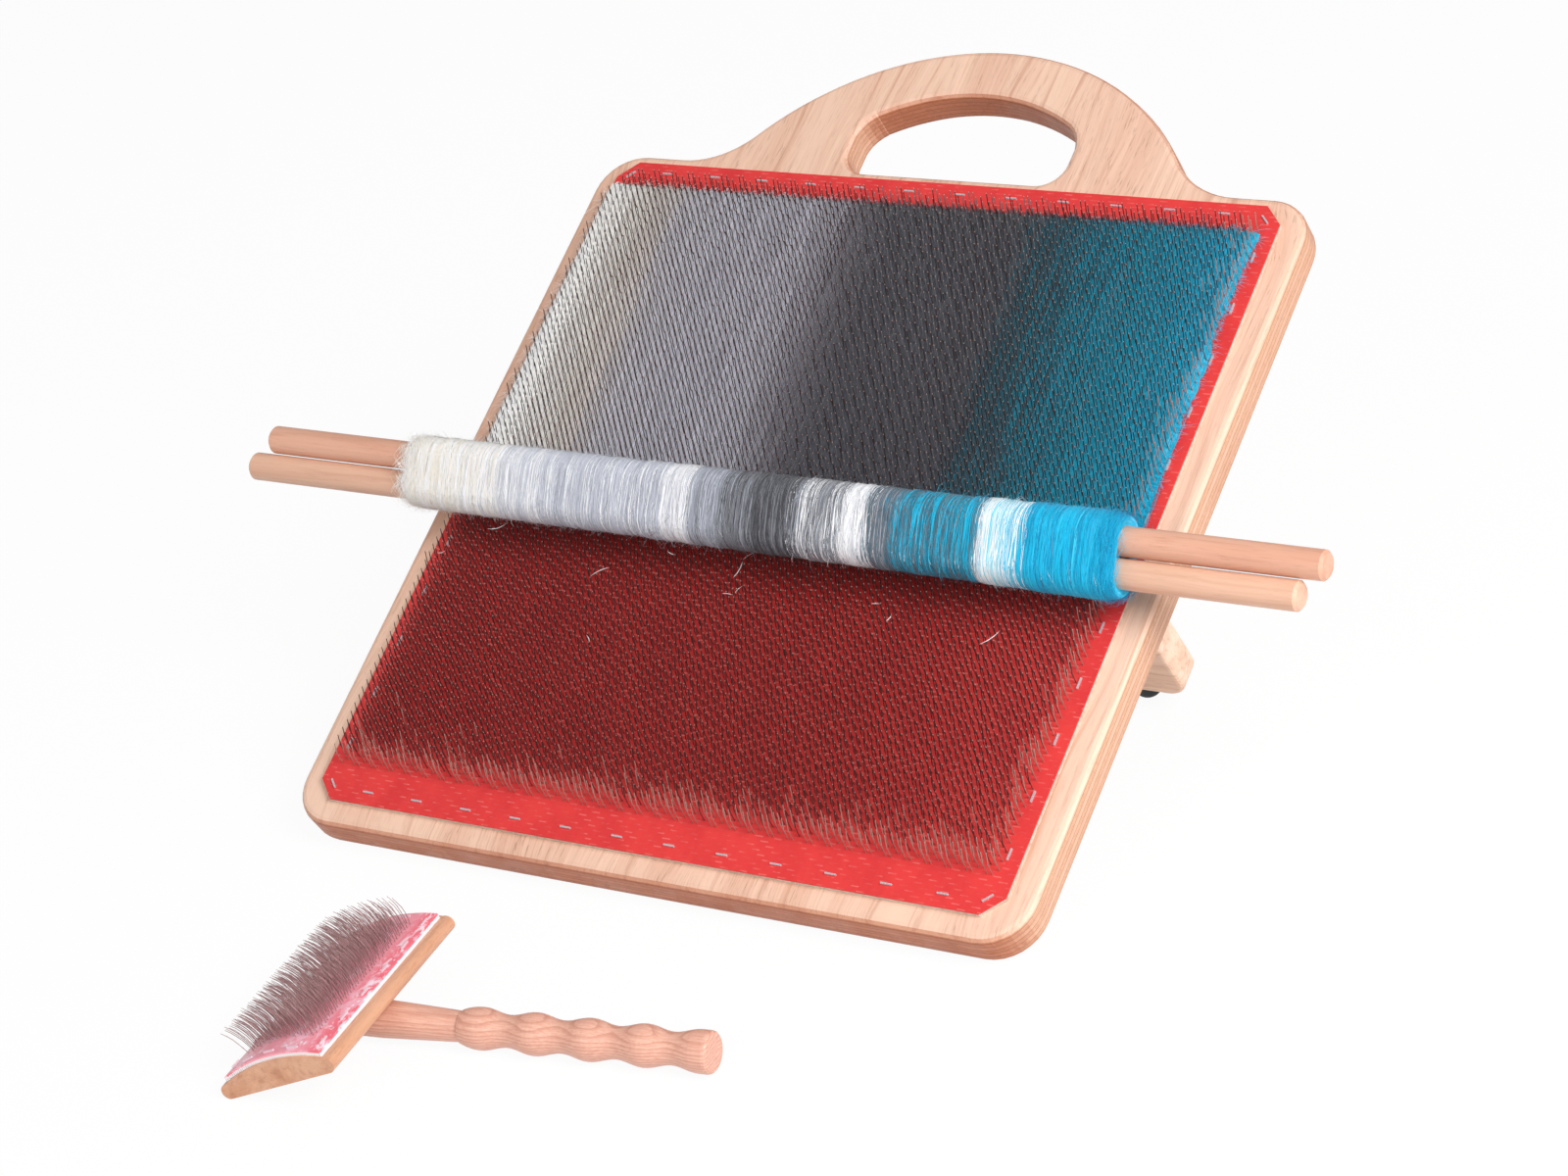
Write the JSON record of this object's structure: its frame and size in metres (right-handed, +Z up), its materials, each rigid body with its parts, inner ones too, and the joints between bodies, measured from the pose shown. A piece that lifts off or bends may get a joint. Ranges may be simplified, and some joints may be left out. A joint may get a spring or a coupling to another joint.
{
  "type": "blending board",
  "caption": "Wool blending board with pinned carding cloth and carrying handle, on a folding keel, with two rods wound with wool and a small brush.",
  "frame": {"origin": "on the table, in the middle of the line that the board stands on: the sharp bottom-back edge, drawn before its rounding, projected on the table", "axes": "+X to the right across the board, +Y away from the user up the slope as seen from above, +Z up"},
  "size_m": [0.513, 0.5311, 0.2112],
  "materials": {
    "ply": "oiled birch plywood",
    "woven": "woven cloth",
    "red_rubber": "matt",
    "pink_rubber": "matt",
    "pins": "drawn wire",
    "staples": "galvanised",
    "batt": "loose wool fibre",
    "steel": "zinc plated",
    "brass": "turned",
    "rubber": "matt black",
    "rod_wood": "sanded hardwood",
    "wool_teal": "loose wool fibre",
    "wool_white": "combed wool roving",
    "brush_wood": "oiled",
    "handle_wood": "oiled"
  },
  "bodies": {
    "stand": {"board": "ply", "cloth_base": "woven", "cloth_face": "red_rubber", "carding_pins": "pins", "cloth_staples": "staples", "fibre_batt": "batt", "hinge_block_left": "ply", "hinge_block_right": "ply", "block_screws": "steel", "washers": "steel"},
    "keel_body": {"keel": "ply", "thread_inserts": "brass", "rubber_feet": "rubber"},
    "bolt_left": {"wing_bolt_left": "steel"},
    "bolt_right": {"wing_bolt_right": "steel"},
    "wool": {"wool_core": "wool_teal", "wool_roving": "wool_white"},
    "upper_rod": {"rod_upper": "rod_wood"},
    "lower_rod": {"rod_lower": "rod_wood"},
    "brush": {"brush_head": "brush_wood", "brush_cloth_base": "woven", "brush_cloth_face": "pink_rubber", "brush_bristles": "pins", "brush_staples": "staples", "brush_peg": "rod_wood", "brush_handle": "handle_wood"}
  },
  "joints": [
    {"name": "keel_fold", "type": "hinge", "parent": "stand", "child": "keel_body", "pos_m": [0, 0.16026, 0.06729], "axis": [1, 0, 0], "range_deg": [-90, 90]},
    {"name": "bolt_left_turn", "type": "hinge", "parent": "keel_body", "child": "bolt_left", "pos_m": [-0.13, 0.16026, 0.06729], "axis": [1, 0, 0], "continuous": true},
    {"name": "bolt_right_turn", "type": "hinge", "parent": "keel_body", "child": "bolt_right", "pos_m": [0.13, 0.16026, 0.06729], "axis": [1, 0, 0], "continuous": true},
    {"name": "wool_draw", "type": "slide", "parent": "stand", "child": "wool", "axis": [0, 0.8771, 0.4802], "range_m": [-0.11, 0.14]},
    {"name": "rod_upper_pull", "type": "slide", "parent": "wool", "child": "upper_rod", "axis": [1, 0, 0], "range_m": [0, 0.42]},
    {"name": "rod_lower_pull", "type": "slide", "parent": "wool", "child": "lower_rod", "axis": [1, 0, 0], "range_m": [-0.42, 0]},
    {"name": "brush_lift", "type": "slide", "parent": "stand", "child": "brush", "axis": [0, 0, 1], "range_m": [0, 0.2]}
  ]
}
